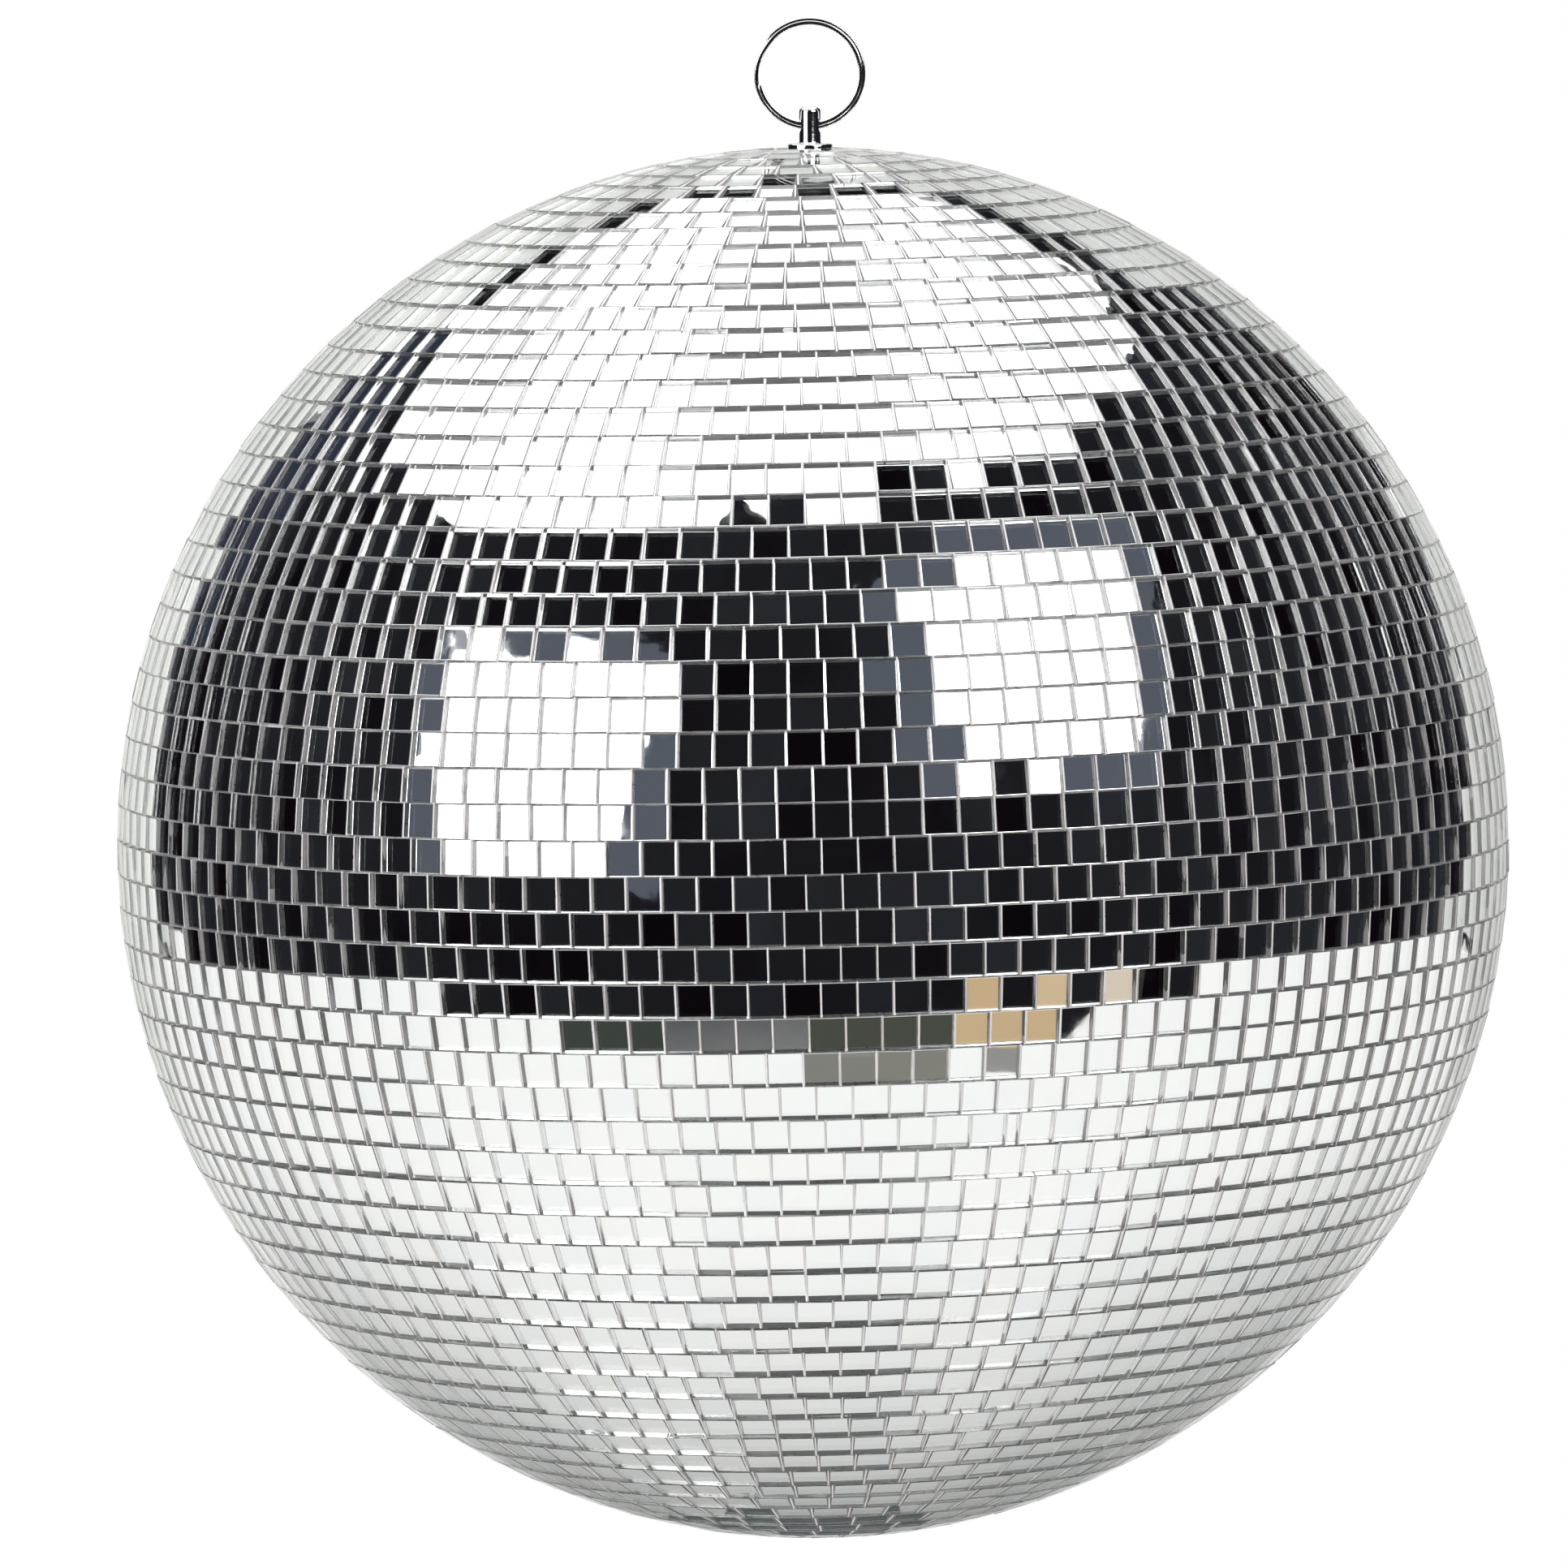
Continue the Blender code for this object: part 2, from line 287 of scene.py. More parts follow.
def plastic_material():
    """Moulded white plastic, a little cloudy, with a fine grain."""
    plastic = Material("moulded_white_plastic", (0.8, 0.79, 0.75), roughness=0.45)
    cloud = plastic.noise(9.0, 4.0, 0.5)
    colour = plastic.ramp(cloud, (0.3, (0.74, 0.72, 0.67)), (0.7, (0.82, 0.81, 0.77)))
    plastic.link(colour, plastic.shader.inputs["Base Color"])
    grain = plastic.noise(700.0, 3.0, 0.6)
    plastic.link(plastic.remap(grain, 0.36, 0.56), plastic.shader.inputs["Roughness"])
    plastic.bump(grain, 0.25, 0.00015)
    return plastic.material


def polished_material(name, colour, low, high):
    """Plated steel with fine polishing marks and a few duller patches."""
    metal = Material(name, colour, metallic=1.0, roughness=low)
    dull = metal.noise(160.0, 4.0, 0.6)
    marks = metal.noise(260.0, 3.0, 0.6, stretch=(1.0, 1.0, 14.0))
    shade = tuple(0.86 * value for value in colour)
    base = metal.mix(metal.ramp(dull, (0.5, 0.0), (0.8, 0.7)), colour, shade)
    metal.link(base, metal.shader.inputs["Base Color"])
    roughness = metal.ramp(metal.mix(0.5, dull, marks), (0.35, low), (0.7, high))
    metal.link(roughness, metal.shader.inputs["Roughness"])
    metal.bump(marks, 0.08, 0.0001)
    return metal.material


def zinc_material():
    """Bright zinc plate: a mottled bluish grey with small bright grains."""
    zinc = Material("zinc_plate", (0.6, 0.62, 0.65), metallic=1.0, roughness=0.35)
    mottle = zinc.noise(220.0, 5.0, 0.65)
    colour = zinc.ramp(mottle, (0.3, (0.46, 0.48, 0.51)), (0.7, (0.68, 0.70, 0.72)))
    zinc.link(colour, zinc.shader.inputs["Base Color"])
    zinc.link(zinc.remap(mottle, 0.22, 0.5), zinc.shader.inputs["Roughness"])
    zinc.bump(mottle, 0.15, 0.0001)
    return zinc.material


def finished_mesh(name, shape):
    mesh = bpy.data.meshes.new(name)
    shape.to_mesh(mesh)
    shape.free()
    return mesh


def new_piece(name, mesh, body, slot, *materials):
    piece = bpy.data.objects.new(name, mesh)
    bpy.context.scene.collection.objects.link(piece)
    for material in materials:
        mesh.materials.append(material)
    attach(piece, body)
    return piece


# ---------------------------------------------------------------------------------- mirrors


def row_layout(low, high, chance):
    """Angles and widths of the mirrors of one row: whole ones, and a cut one where they don't meet."""
    middle = (low + high) / 2
    tight_radius = BALL_RADIUS * math.cos(middle) - TILE_SIZE / 2 * abs(math.sin(middle))
    step = 2 * math.atan((TILE_SIZE + TILE_GAP) / 2 / tight_radius)
    whole = int(2 * math.pi / step)
    left = 2 * math.pi - whole * step
    cut = left * tight_radius - TILE_GAP
    widths = [TILE_SIZE] * whole
    if cut > NARROWEST_CUT:
        widths.append(cut)
    steps = [2 * math.atan((width + TILE_GAP) / 2 / tight_radius) for width in widths]
    spare = (2 * math.pi - sum(steps)) / len(steps)
    angle = chance.uniform(0.0, 2 * math.pi)
    tiles = []
    for width, step in zip(widths, steps):
        angle += (step + spare) / 2
        tiles.append((angle, width))
        angle += (step + spare) / 2
    return middle, tiles


def tile_faces(shape, pose, width, chance):
    """A flat glass tile with fine arrises and cut edges a little off square, silvered on its back."""
    half_width = width / 2
    half_height = TILE_SIZE / 2 - chance.uniform(0.0, CUT_ERROR)
    slants = [chance.gauss(0.0, WALL_SLANT) for side in range(4)]
    loops = []
    for inset, height, slant in ((ARRIS, 0.0, 0.0), (0.0, -ARRIS, 0.0), (0.0, -GLASS_THICKNESS, 1.0)):
        left, right, lower, upper = (inset + slant * value for value in slants)
        corners = (
            (left - half_width, lower - half_height),
            (half_width - right, lower - half_height),
            (half_width - right, half_height - upper),
            (left - half_width, half_height - upper),
        )
        loops.append([shape.verts.new(pose @ Vector((x, y, height))) for x, y in corners])
    shape.faces.new(loops[0]).material_index = 0
    for above, below in zip(loops, loops[1:]):
        for index in range(4):
            after = (index + 1) % 4
            side = shape.faces.new((above[index], below[index], below[after], above[after]))
            side.material_index = 1
    shape.faces.new(reversed(loops[-1])).material_index = 2


def glue_faces(shape, pose, width, length, rise):
    """Glue squeezed up between two tiles of a row, from the bed to just under their faces."""
    lift = JOINT_GLUE_RADIUS + rise
    corners = [(x * width / 2, y * length / 2) for x, y in ((-1, -1), (1, -1), (1, 1), (-1, 1))]
    top = [shape.verts.new(pose @ Vector((x, y, lift))) for x, y in corners]
    foot = [shape.verts.new(pose @ Vector((x, y, BED_OUTER_RADIUS - JOINT_GLUE_ROOT))) for x, y in corners]
    shape.faces.new(top)
    shape.faces.new(reversed(foot))
    for index in range(4):
        after = (index + 1) % 4
        shape.faces.new((top[index], foot[index], foot[after], top[after]))


def lay_row(shape, glue, low, high, row, centre):
    chance = random.Random(1000 + row)
    middle, tiles = row_layout(low, high, chance)
    strip_left = 0
    wave = chance.uniform(0.0, 2 * math.pi)
    tilted = Matrix.Translation(centre) @ Matrix.Rotation(ROW_TILT, 4, "Y")
    leant = Matrix.Rotation(math.pi / 2 - middle, 4, "Y")
    sideways = Matrix.Rotation(math.pi / 2, 4, "Z")
    for index, (angle, width) in enumerate(tiles):
        if strip_left == 0:
            strip_left = chance.randint(*STRIP_LENGTH)
            strip_shift = chance.gauss(0.0, STRIP_SHIFT)
            strip_tilt = chance.gauss(0.0, STRIP_TILT)
        strip_left -= 1
        spread = STRAY_TILT if chance.random() < STRAY_SHARE else TILE_TILT
        lean = chance.gauss(strip_tilt, spread)
        swing = chance.gauss(0.0, spread)
        shift = strip_shift + chance.gauss(0.0, TILE_SHIFT) + ROW_WAVE * math.sin(3 * angle + wave)
        radius = BALL_RADIUS + min(chance.gauss(-TILE_SINK, TILE_SINK), TILE_SINK)
        pose = (
            tilted
            @ Matrix.Rotation(angle, 4, "Z")
            @ leant
            @ Matrix.Translation((-shift, 0.0, radius))
            @ Matrix.Rotation(lean, 4, "Y")
            @ Matrix.Rotation(swing, 4, "X")
            @ Matrix.Rotation(math.pi / 2 + chance.gauss(0.0, TILE_TURN), 4, "Z")
        )
        tile_faces(shape, pose, width, chance)
        before, narrow = tiles[index - 1]
        turn = (angle - before) % (2 * math.pi)
        joint = angle - turn * (width + TILE_GAP) / (width + narrow + 2 * TILE_GAP)
        pose = tilted @ Matrix.Rotation(joint, 4, "Z") @ leant @ sideways
        glue_width = TILE_GAP - JOINT_GLUE_CLEARANCE
        glue_length = TILE_SIZE + JOINT_GLUE_OVERRUN
        glue_faces(glue, pose, glue_width, glue_length, chance.gauss(0.0, JOINT_GLUE_UNEVEN))


def make_mirrors(centre, glass, glue_surface):
    glues = {"lower": bmesh.new(), "upper": bmesh.new()}
    for node in sorted(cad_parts):
        if not node.startswith("mirror_rows_"):
            continue
        rows = [int(text) for text in node.split("_")[2:]]
        shape = bmesh.new()
        for row in range(rows[0], rows[-1] + 1):
            low = LOWEST_ROW_EDGE + ROW_PITCH * (row - 1)
            glue = glues["upper" if low + ROW_PITCH / 2 > 0.0 else "lower"]
            lay_row(shape, glue, low, low + ROW_PITCH, row, centre)
        mesh = finished_mesh(node, shape)
        piece = new_piece(node.replace("rows", "tiles"), mesh, "ball", "mirror_glass", *glass)
        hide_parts(node)
    for half, shape in glues.items():
        name = f"{half}_joint_glue"
        new_piece(name, finished_mesh(name, shape), "ball", "core_plastic", glue_surface)


# ------------------------------------------------------------------- core, bed and hardware


def turned_mesh(name, profile, closed=False, steps=FINE_STEPS):
    """Turns a profile of (radius, height) points, which runs down its outer side, about Z."""
    shape = bmesh.new()
    points = [shape.verts.new((radius, 0.0, z)) for radius, z in profile]
    edges = [shape.edges.new(pair) for pair in zip(points, points[1:])]
    if closed:
        edges.append(shape.edges.new((points[-1], points[0])))
    bmesh.ops.spin(
        shape,
        geom=points + edges,
        cent=(0.0, 0.0, 0.0),
        axis=(0.0, 0.0, 1.0),
        angle=2 * math.pi,
        steps=steps,
        use_merge=True,
    )
    bmesh.ops.remove_doubles(shape, verts=shape.verts, dist=0.000001)
    bmesh.ops.recalc_face_normals(shape, faces=shape.faces)
    mesh = finished_mesh(name, shape)
    mesh.shade_smooth()
    mesh.set_sharp_from_angle(angle=math.radians(30))
    return mesh


def arc(radius, start, end, steps, centre_z):
    angles = [start + (end - start) * step / steps for step in range(steps + 1)]
    return [(radius * math.cos(angle), centre_z + radius * math.sin(angle)) for angle in angles]


def make_core(centre, plastic, glue):
    """Both half shells with smooth surfaces, and the uneven bed of glue that the mirrors sit in."""
    z = centre.z
    seam = CORE_SEAM / CORE_OUTER_RADIUS
    pole = math.radians(90.0)

    hole = pole - SHELL_HOLE_RADIUS / CORE_OUTER_RADIUS
    pad = pole - (TOP_PAD_RADIUS + PAD_FLARE) / CORE_INNER_RADIUS
    upper = arc(CORE_OUTER_RADIUS, hole, seam, ARC_STEPS, z)
    upper += arc(CORE_INNER_RADIUS, seam, pad, ARC_STEPS, z)
    upper += [(TOP_PAD_RADIUS, z + TOP_PAD), (SHELL_HOLE_RADIUS, z + TOP_PAD)]

    mouth = pole - RECESS_MOUTH_RADIUS / CORE_OUTER_RADIUS
    pad = pole - (BOTTOM_PAD_RADIUS + PAD_FLARE) / CORE_INNER_RADIUS
    lower = arc(CORE_OUTER_RADIUS, -seam, -mouth, ARC_STEPS, z)
    lower += [
        (RECESS_FLOOR_RADIUS, z + RECESS_FLOOR - RECESS_EASE),
        (RECESS_FLOOR_RADIUS - RECESS_EASE, z + RECESS_FLOOR),
        (SHELL_HOLE_RADIUS, z + RECESS_FLOOR),
        (SHELL_HOLE_RADIUS, z + BOTTOM_PAD),
        (BOTTOM_PAD_RADIUS, z + BOTTOM_PAD),
    ]
    lower += arc(CORE_INNER_RADIUS, -pad, -seam, ARC_STEPS, z)

    for half, profile in (("upper", upper), ("lower", lower)):
        mesh = turned_mesh(f"{half}_core", profile, closed=True)
        piece = new_piece(f"{half}_core_moulding", mesh, "ball", "core_plastic", plastic)
        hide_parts(f"{half}_core_shell")

    for name, start, end in (
        ("upper_adhesive_bed", pole - BED_TOP_HOLE / BED_OUTER_RADIUS, BED_SEAM),
        ("lower_adhesive_bed", -BED_SEAM, BED_BOTTOM_HOLE / BED_OUTER_RADIUS - pole),
    ):
        profile = arc(BED_OUTER_RADIUS, start, end, 120, 0.0) + arc(BED_INNER_RADIUS, end, start, 20, 0.0)
        mesh = turned_mesh(name, profile, closed=True, steps=300)
        for vertex in mesh.vertices:
            if vertex.co.length > BED_OUTER_RADIUS - 0.05 * MM:
                lump = sum(noise.noise(vertex.co * scale) * height for scale, height in BED_LUMPS)
                vertex.co += vertex.co.normalized() * lump
        piece = new_piece(name, mesh, "ball", "core_plastic", glue)
        piece.location = centre


def rounded_section(width, height, corner, steps=4):
    points = []
    for quarter, (sx, sy) in enumerate(((1, 1), (-1, 1), (-1, -1), (1, -1))):
        for step in range(steps + 1):
            angle = math.pi / 2 * (quarter + step / steps)
            x = sx * (width / 2 - corner) + corner * math.cos(angle)
            y = sy * (height / 2 - corner) + corner * math.sin(angle)
            points.append((x, y))
    return points


def smooth_step(value):
    value = min(max(value, 0.0), 1.0)
    return value * value * (3.0 - 2.0 * value)


def make_split_ring(material):
    """Flat wire wound almost twice round, with rounded ends, stepping out to the second coil."""
    sweep = 4 * math.pi - (CROSSING_END - CROSSING_START)
    section = rounded_section(WIRE_WIDTH, WIRE_THICKNESS, WIRE_CORNER)
    shape = bmesh.new()
    loops = []
    for index in range(WIRE_POINTS):
        travelled = sweep * index / (WIRE_POINTS - 1)
        angle = CROSSING_END + travelled
        past = angle - (CROSSING_START + 2 * math.pi)
        share = smooth_step(past / (CROSSING_END - CROSSING_START))
        radius = RING_INNER_RADIUS + WIRE_WIDTH / 2 + COIL_RADIAL_STEP * share
        side = COIL_AXIAL_STEP * (0.5 - share)
        end = min(index, WIRE_POINTS - 1 - index)
        size = WIRE_END_SIZES[end] if end < len(WIRE_END_SIZES) else 1.0
        loop = []
        for x, y in section:
            reach = radius + x * size
            across = side + y * size
            height = reach * math.sin(angle) - RING_INNER_RADIUS
            loop.append(shape.verts.new((reach * math.cos(angle), -across, height)))
        loops.append(loop)
    for first, second in zip(loops, loops[1:]):
        for index in range(len(section)):
            after = (index + 1) % len(section)
            shape.faces.new((first[index], first[after], second[after], second[index]))
    shape.faces.new(loops[0])
    shape.faces.new(reversed(loops[-1]))
    bmesh.ops.recalc_face_normals(shape, faces=shape.faces)
    mesh = finished_mesh("split_ring_wire", shape)
    mesh.shade_smooth()
    piece = new_piece("split_ring_wire", mesh, "hanging_ring", "ring_chrome", material)
    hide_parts("split_ring")


def make_stud(centre, material):
    """The turned stud with a domed top, eased edges and its cross-hole."""
    z = centre.z
    dome_radius = STUD_RADIUS - STUD_DOME
    dome_height = z + STUD_TOP - STUD_DOME
    profile = [(0.0, z + STUD_TOP)]
    for step in range(1, 13):
        turn = math.pi / 2 * step / 12
        profile.append((dome_radius + STUD_DOME * math.sin(turn), dome_height + STUD_DOME * math.cos(turn)))
    foot = z + FLANGE_TOP + FLANGE_EASE
    profile += [(STUD_RADIUS, foot)]
    for step in range(1, 6):
        turn = math.pi / 2 * step / 6
        fillet = STUD_RADIUS + FLANGE_EASE * (1 - math.cos(turn))
        profile.append((fillet, foot - FLANGE_EASE * math.sin(turn)))
    rim_radius = FLANGE_RADIUS - FLANGE_EASE
    rim_height = z + FLANGE_TOP - FLANGE_EASE
    profile += [(rim_radius, z + FLANGE_TOP)]
    for step in range(1, 6):
        turn = math.pi / 2 * step / 5
        profile.append((rim_radius + FLANGE_EASE * math.sin(turn), rim_height + FLANGE_EASE * math.cos(turn)))
    profile += [
        (FLANGE_RADIUS, z + FLANGE_BOTTOM),
        (THREAD_RADIUS, z + FLANGE_BOTTOM),
        (THREAD_RADIUS, z + STUD_END + THREAD_CHAMFER),
        (THREAD_RADIUS - THREAD_CHAMFER, z + STUD_END),
        (0.0, z + STUD_END),
    ]
    mesh = turned_mesh("hanger_stud_turned", profile, steps=96)
    piece = new_piece("hanger_stud_turned", mesh, "ball", "stud_plated_steel", material)
    shape = bmesh.new()
    bmesh.ops.create_cone(
        shape,
        cap_ends=True,
        segments=64,
        radius1=CROSS_HOLE_RADIUS,
        radius2=CROSS_HOLE_RADIUS,
        depth=DRILL_LENGTH,
    )
    drill = bpy.data.objects.new("cross_drill", finished_mesh("cross_drill", shape))
    bpy.context.scene.collection.objects.link(drill)
    across = Matrix.Rotation(math.pi / 2, 4, "Y")
    drill.matrix_world = Matrix.Translation((0.0, 0.0, CROSS_HOLE_Z)) @ across
    cut = piece.modifiers.new("Cross hole", "BOOLEAN")
    cut.operation = "DIFFERENCE"
    cut.object = drill
    bpy.context.view_layer.update()
    evaluated = piece.evaluated_get(bpy.context.evaluated_depsgraph_get())
    mesh = bpy.data.meshes.new_from_object(evaluated)
    piece.modifiers.clear()
    piece.data = mesh
    mesh.shade_smooth()
    mesh.set_sharp_from_angle(angle=math.radians(32))
    bpy.data.objects.remove(drill, do_unlink=True)
    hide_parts("hanger_stud")


def finish_hardware(zinc, plastic):
    """Surfaces for the pieces inside the ball that keep their shape from the model."""
    plated = (
        "top_backing_plate",
        "top_lock_washer",
        "top_hex_nut",
        "coupling_nut",
        "tie_rod",
        "bottom_washer",
        "bottom_hex_nut",
    )
    for node, material in [(name, zinc) for name in plated] + [("equator_joint_ring", plastic)]:
        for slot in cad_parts[node].material_slots:
            slot.material = material


# ----------------------------------------------------------------------- studio and camera


def emission_material(name, colour, strength):
    material = bpy.data.materials.new(name)
    material.use_nodes = True
    tree = material.node_tree
    tree.nodes.clear()
    glow = tree.nodes.new("ShaderNodeEmission")
    glow.inputs["Color"].default_value = (*colour, 1.0)
    glow.inputs["Strength"].default_value = strength
    output = tree.nodes.new("ShaderNodeOutputMaterial")
    tree.links.new(glow.outputs["Emission"], output.inputs["Surface"])
    return material


def panel(name, corners, colour, strength):
    """A glowing panel that lights the ball and shows in its mirrors, but not to the camera."""
    mesh = bpy.data.meshes.new(name)
    mesh.from_pydata([tuple(corner) for corner in corners], [], [tuple(range(len(corners)))])
    item = bpy.data.objects.new(name, mesh)
    bpy.context.scene.collection.objects.link(item)
    mesh.materials.append(emission_material(name, colour, strength))
    item.visible_camera = False
    item.visible_shadow = False
    return item


def mirror_ray(centre, azimuth, elevation):
    """Where on the ball the camera sees this direction mirrored, and the direction. Azimuth +90 is +X."""
    turn, rise = math.radians(azimuth), math.radians(elevation)
    direction = Vector((math.sin(turn) * math.cos(rise), -math.cos(turn) * math.cos(rise), math.sin(rise)))
    to_camera = Vector((0.0, -math.cos(CAMERA_ELEVATION), math.sin(CAMERA_ELEVATION)))
    return centre + (direction + to_camera).normalized() * BALL_RADIUS, direction


def reflected(centre, outline, distance=None, **plane):
    """Corners of a panel that shows in the ball with this outline, at a distance or on an x, y or z plane."""
    corners = []
    for azimuth, elevation in outline:
        start, direction = mirror_ray(centre, azimuth, elevation)
        reach = distance
        for axis, offset in plane.items():
            index = "xyz".index(axis)
            reach = (centre[index] + offset - start[index]) / direction[index]
        corners.append(start + direction * reach)
    return corners


def shaded_panel(name, corners, point, near, far, reach):
    """A glowing panel whose brightness changes smoothly with the distance from a point."""
    item = panel(name, corners, far, 1.0)
    tree = item.data.materials[0].node_tree
    place = tree.nodes.new("ShaderNodeTexCoord")
    away = tree.nodes.new("ShaderNodeVectorMath")
    away.operation = "DISTANCE"
    away.inputs[1].default_value = point
    share = tree.nodes.new("ShaderNodeMapRange")
    share.interpolation_type = "SMOOTHSTEP"
    share.inputs["From Min"].default_value = reach[0]
    share.inputs["From Max"].default_value = reach[1]
    blend = tree.nodes.new("ShaderNodeMix")
    blend.data_type = "RGBA"
    blend.inputs[6].default_value = (*near, 1.0)
    blend.inputs[7].default_value = (*far, 1.0)
    tree.links.new(place.outputs["Object"], away.inputs[0])
    tree.links.new(away.outputs["Value"], share.inputs["Value"])
    tree.links.new(share.outputs["Result"], blend.inputs[0])
    tree.links.new(blend.outputs[2], tree.nodes["Emission"].inputs["Color"])
    return item


def make_studio(centre):
    # Diffusion cloth overhead
    cloth = (
        (-166, 37), (-150, 37), (-120, 37.5), (-90, 42), (-75, 45.5), (-60, 48), (-45, 52), (-28, 56.5),
        (-22, 61.5), (-12, 58.5), (-2, 61.5), (8, 58.5), (19, 61.5), (25, 62), (30, 67), (41, 67), (46, 63.5),
        (56, 60), (63, 62), (75, 58), (90, 57), (105, 55.5), (120, 51), (135, 46.5), (150, 41.5), (166, 38.5),
    )
    white = (1.0, 1.0, 1.0)
    panel("stage_overhead_cloth", reflected(centre, cloth, z=CLOTH_HEIGHT), white, CLOTH_STRENGTH)

    # Two softboxes, one each side of the camera, with dim blue-grey lips
    boxes = {
        "left": ((-66, -2), (-33, -1.5), (-30, 13), (-26, 22), (-22, 30.5), (-70, 30)),
        "right": (
            (26, 12.5), (41, 12.5), (43, 16), (60, 16), (63.5, 30), (70, 44), (51, 45.5), (50, 50),
            (32, 50.5), (31, 45.5), (17, 44.5), (22, 30),
        ),
    }
    lips = {
        "left": ((-71, -1), (-27, -3), (-24, 20), (-22, 33.5), (-52, 36), (-75, 31)),
        "right": ((17, 12), (62, 10.5), (69, 25), (76, 46), (60, 50), (36, 53.5), (9, 47), (13, 30)),
    }
    for side in boxes:
        panel(f"stage_softbox_{side}", reflected(centre, boxes[side], BOX_DISTANCE), white, BOX_STRENGTH)
        corners = reflected(centre, lips[side], LIP_DISTANCE)
        panel(f"stage_softbox_lip_{side}", corners, (0.60, 0.67, 0.84), LIP_STRENGTH)

    # Dim wall far to the left, a little blue
    wall = ((-136, 9), (-142, 8), (-148, 14), (-150, 36), (-136, 37), (-129, 30), (-131, 18))
    corners = reflected(centre, wall, WALL_DISTANCE)
    panel("stage_side_wall", corners, (0.40, 0.50, 0.76), WALL_STRENGTH)

    # White backdrop behind the ball, curving up from the table, with painted light: brightest near a point at
    # its left and dimmer further from it
    backdrop = (
        (-179, -13), (-150, -13), (-139, -9), (-141, 2), (-147, 12), (-148, 32), (-179, 33), (179, 33),
        (156, 33), (159, 25), (158, 15), (150, 8), (140, 0), (134, -7), (150, -13), (179, -13),
    )
    corners = reflected(centre, backdrop, y=BACKDROP_OFFSET)
    left = centre + Vector((-1.8, BACKDROP_OFFSET, 0.3))
    shaded_panel("stage_backdrop", corners, left, (0.94, 0.96, 0.92), (0.74, 0.75, 0.73), (0.3, 3.2))

    # White table top under the ball, in its shade there and brighter away from it
    table = (
        (-66, -20.3), (-50, -22.3), (-48, -28), (-24, -29.8), (0, -30.4), (24, -29.8), (44, -28),
        (47, -22.5), (66, -20.3), (69, -15.5), (90, -13.5), (105, -11.5), (120, -9.5), (134, -8),
        (150, -11.5), (179, -12), (-179, -12), (-150, -11.5), (-134, -9), (-120, -11.5), (-105, -13.5),
        (-90, -15), (-69, -16),
    )
    corners = reflected(centre, table, z=TABLE_HEIGHT)
    under = centre + Vector((0.05, 0.5, TABLE_HEIGHT))
    shaded_panel("stage_table", corners, under, (0.40, 0.41, 0.40), (1.0, 1.0, 0.99), (0.1, 0.9))

    # Things standing about the room, which show as odd tiles along the table's edge
    chair = ((27, -17.5), (32, -17.5), (33, -22.8), (44, -22.5), (43, -28), (27, -29))
    for name, outline, colour in (
        ("chair", chair, (0.60, 0.44, 0.26)),
        ("chair_leg", ((37.5, -17.5), (43.5, -17.5), (44, -22.5), (38, -22.5)), (0.66, 0.50, 0.32)),
        ("box", ((49, -16.5), (59, -16), (59, -21), (50, -22)), (0.70, 0.62, 0.50)),
        ("stand", ((-48, -22.6), (-27, -23), (-27, -29.5), (-48, -28)), (0.05, 0.058, 0.05)),
        ("case", ((0, -24.2), (27, -23.5), (26, -29.6), (0, -30.3)), (0.07, 0.075, 0.06)),
        ("crate", ((-4, -30.4), (22, -29.9), (21, -35.5), (-3, -36)), (0.24, 0.235, 0.21)),
    ):
        panel(f"stage_{name}", reflected(centre, outline, CLUTTER_DISTANCE), colour, 1.0)
    shadow = ((176, -20), (-176, -20), (-175, -38), (175, -38))
    panel("stage_table_shadow", reflected(centre, shadow, z=SHADOW_HEIGHT), (0.09, 0.105, 0.11), 1.0)


def make_floor(centre):
    """Pale floor that fades into the white round it, and doesn't show in the mirrors."""
    shape = bmesh.new()
    bmesh.ops.create_circle(shape, cap_ends=True, segments=96, radius=FLOOR_RADIUS)
    mesh = finished_mesh("stage_floor", shape)
    floor = bpy.data.objects.new("stage_floor", mesh)
    bpy.context.scene.collection.objects.link(floor)
    floor.location = centre + Vector((0.0, 0.0, FLOOR_HEIGHT))
    floor.visible_glossy = False
    material = bpy.data.materials.new("stage_floor")
    material.use_nodes = True
    tree = material.node_tree
    shader = tree.nodes["Principled BSDF"]
    shader.inputs["Base Color"].default_value = (0.9, 0.9, 0.89, 1.0)
    shader.inputs["Roughness"].default_value = 0.7
    fade = tree.nodes.new("ShaderNodeTexGradient")
    fade.gradient_type = "SPHERICAL"
    place = tree.nodes.new("ShaderNodeTexCoord")
    spread = tree.nodes.new("ShaderNodeMapping")
    spread.inputs["Scale"].default_value = (1 / FLOOR_RADIUS, 1 / FLOOR_RADIUS, 1.0)
    ramp = tree.nodes.new("ShaderNodeMapRange")
    ramp.inputs["From Max"].default_value = 0.5
    clear = tree.nodes.new("ShaderNodeBsdfTransparent")
    blend = tree.nodes.new("ShaderNodeMixShader")
    tree.links.new(place.outputs["Object"], spread.inputs["Vector"])
    tree.links.new(spread.outputs["Vector"], fade.inputs["Vector"])
    tree.links.new(fade.outputs["Fac"], ramp.inputs["Value"])
    tree.links.new(ramp.outputs["Result"], blend.inputs["Fac"])
    tree.links.new(clear.outputs["BSDF"], blend.inputs[1])
    tree.links.new(shader.outputs["BSDF"], blend.inputs[2])
    tree.links.new(blend.outputs["Shader"], tree.nodes["Material Output"].inputs["Surface"])
    mesh.materials.append(material)


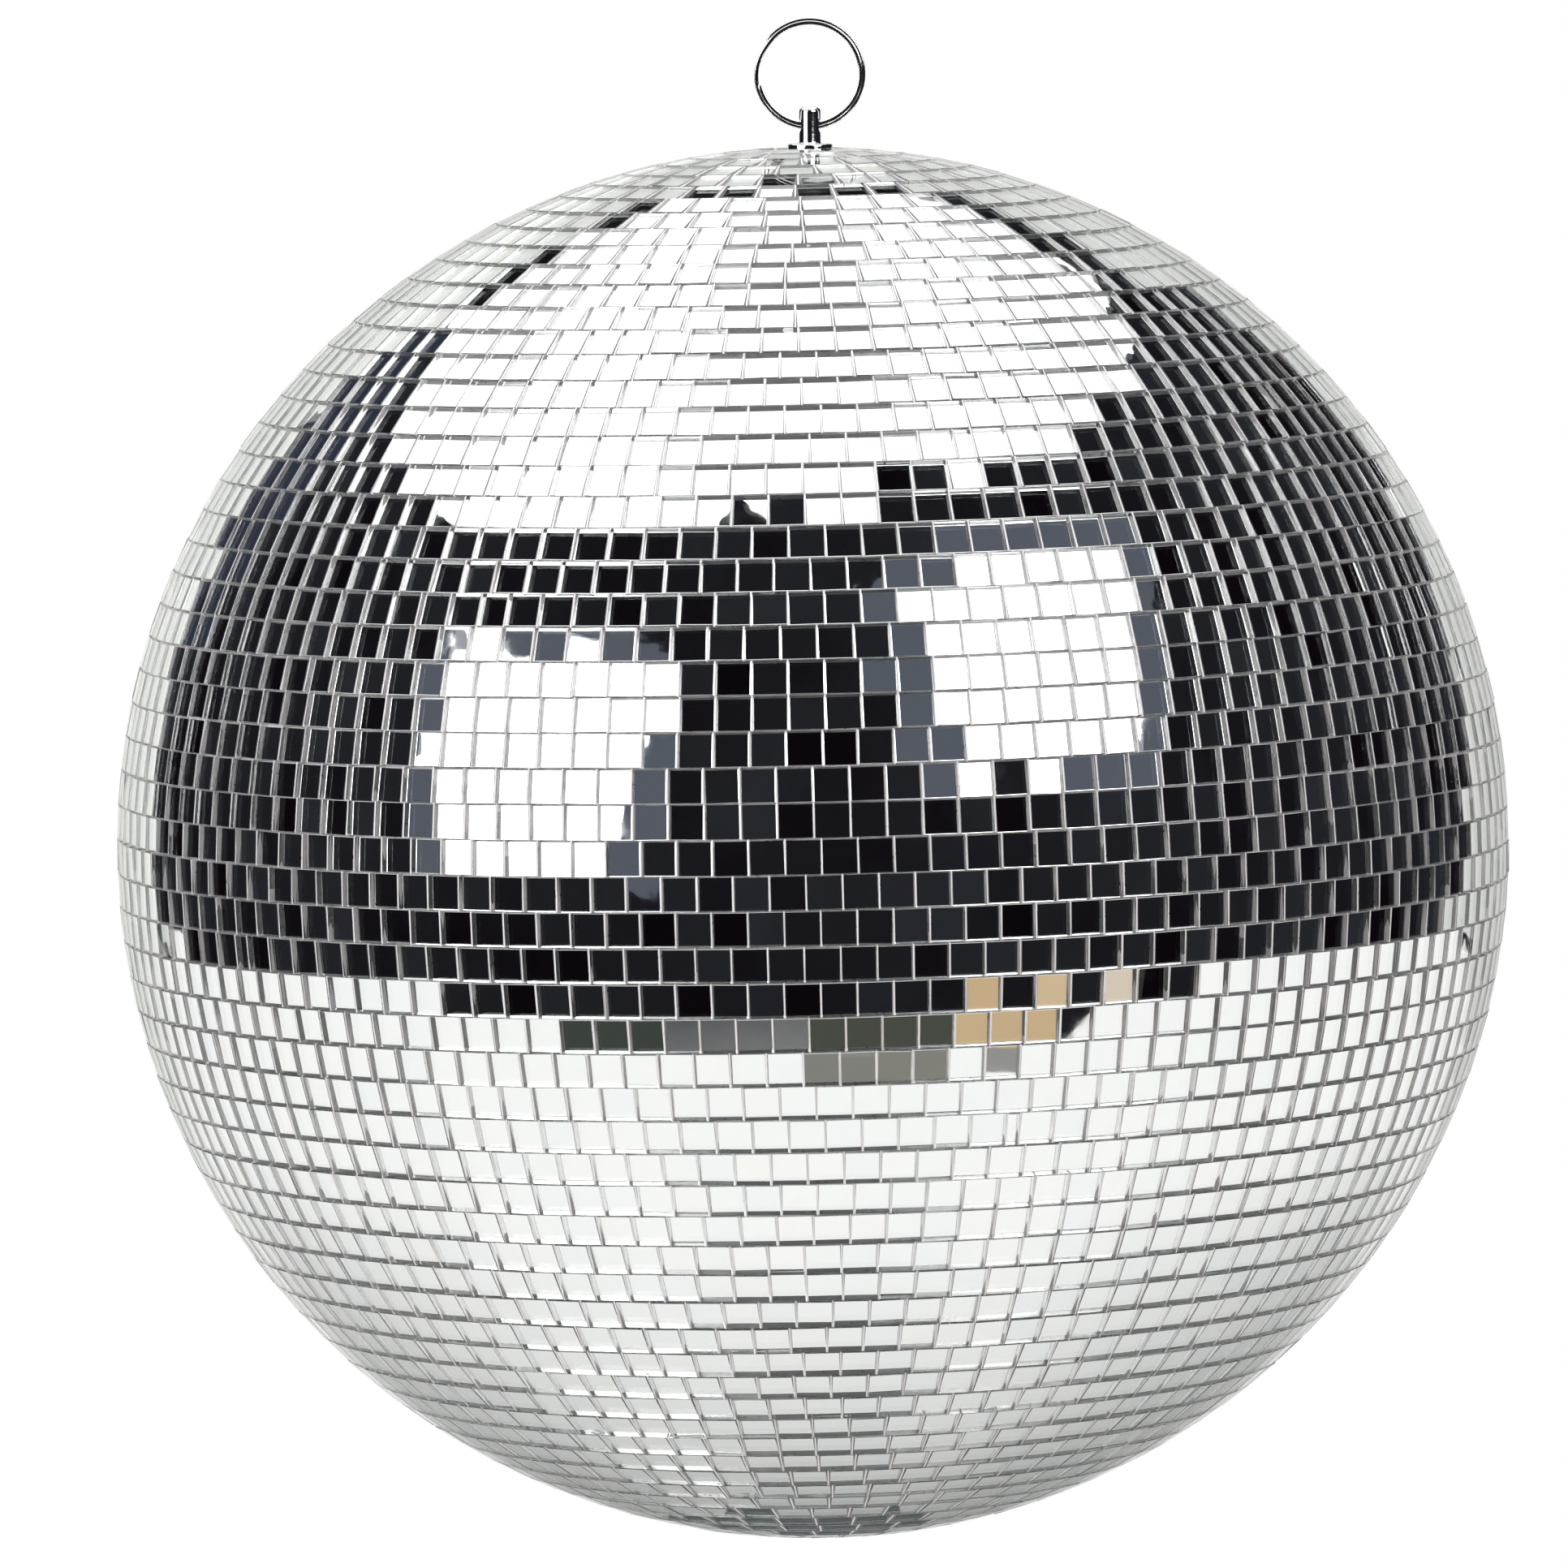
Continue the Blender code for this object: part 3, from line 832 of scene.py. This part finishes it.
def make_world():
    """The camera sees white round the ball, and the mirrors see a dark, cluttered room."""
    world = bpy.data.worlds.new("studio")
    bpy.context.scene.world = world
    world.use_nodes = True
    tree = world.node_tree
    tree.nodes.clear()
    path = tree.nodes.new("ShaderNodeLightPath")
    white = tree.nodes.new("ShaderNodeBackground")
    white.inputs["Color"].default_value = (1.0, 1.0, 1.0, 1.0)
    dark = tree.nodes.new("ShaderNodeBackground")
    clutter = tree.nodes.new("ShaderNodeTexNoise")
    clutter.inputs["Scale"].default_value = 9.0
    clutter.inputs["Detail"].default_value = 5.0
    room = tree.nodes.new("ShaderNodeValToRGB")
    room.color_ramp.elements[0].position = 0.36
    room.color_ramp.elements[0].color = (0.0035, 0.0022, 0.0035, 1.0)
    room.color_ramp.elements[1].position = 0.66
    room.color_ramp.elements[1].color = (0.021, 0.0225, 0.028, 1.0)
    tree.links.new(clutter.outputs["Fac"], room.inputs["Fac"])
    tree.links.new(room.outputs["Color"], dark.inputs["Color"])
    blend = tree.nodes.new("ShaderNodeMixShader")
    output = tree.nodes.new("ShaderNodeOutputWorld")
    tree.links.new(path.outputs["Is Camera Ray"], blend.inputs["Fac"])
    tree.links.new(dark.outputs["Background"], blend.inputs[1])
    tree.links.new(white.outputs["Background"], blend.inputs[2])
    tree.links.new(blend.outputs["Shader"], output.inputs["Surface"])


def make_camera(centre):
    """A long lens a little above the ball's centre, aimed so that the ball sits low and right of centre."""
    turn, rise = CAMERA_AZIMUTH, CAMERA_ELEVATION
    back = Vector((math.sin(turn) * math.cos(rise), -math.cos(turn) * math.cos(rise), math.sin(rise)))
    right = Vector((math.cos(turn), math.sin(turn), 0.0))
    up = back.cross(right)
    level = right
    right = level * math.cos(CAMERA_ROLL) + up * math.sin(CAMERA_ROLL)
    up = up * math.cos(CAMERA_ROLL) - level * math.sin(CAMERA_ROLL)
    ratio = CAMERA_DISTANCE / BALL_RADIUS
    focal_length = BALL_RADIUS_IN_IMAGE * math.sqrt(ratio * ratio - 1)
    position = centre + back * CAMERA_DISTANCE
    metres = CAMERA_DISTANCE / focal_length
    aim = centre - right * BALL_OFF_CENTRE[0] * metres - up * BALL_OFF_CENTRE[1] * metres
    forward = (aim - position).normalized()
    right = forward.cross(up).normalized()
    up = right.cross(forward)
    data = bpy.data.cameras.new("camera")
    data.sensor_width = 36.0
    data.lens = 36.0 * focal_length / IMAGE_WIDTH
    data.clip_end = 100.0
    camera = bpy.data.objects.new("camera", data)
    camera.matrix_world = Matrix(
        (
            (right.x, up.x, -forward.x, position.x),
            (right.y, up.y, -forward.y, position.y),
            (right.z, up.z, -forward.z, position.z),
            (0.0, 0.0, 0.0, 1.0),
        )
    )
    bpy.context.scene.collection.objects.link(camera)
    bpy.context.scene.camera = camera


joint_low, joint_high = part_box("equator_joint_ring")
ball_centre = (joint_low + joint_high) / 2

bpy.context.scene.view_settings.view_transform = "Standard"
glue_surface = adhesive_material()
plastic_surface = plastic_material()
make_mirrors(ball_centre, (glass_face_material(), cut_edge_material(), silver_material()), glue_surface)
make_core(ball_centre, plastic_surface, glue_surface)
make_split_ring(polished_material("ring_plating", (0.80, 0.80, 0.78), 0.07, 0.22))
make_stud(ball_centre, polished_material("stud_plating", (0.78, 0.79, 0.81), 0.05, 0.16))
finish_hardware(zinc_material(), plastic_surface)
make_studio(ball_centre)
make_floor(ball_centre)
make_world()
make_camera(ball_centre)
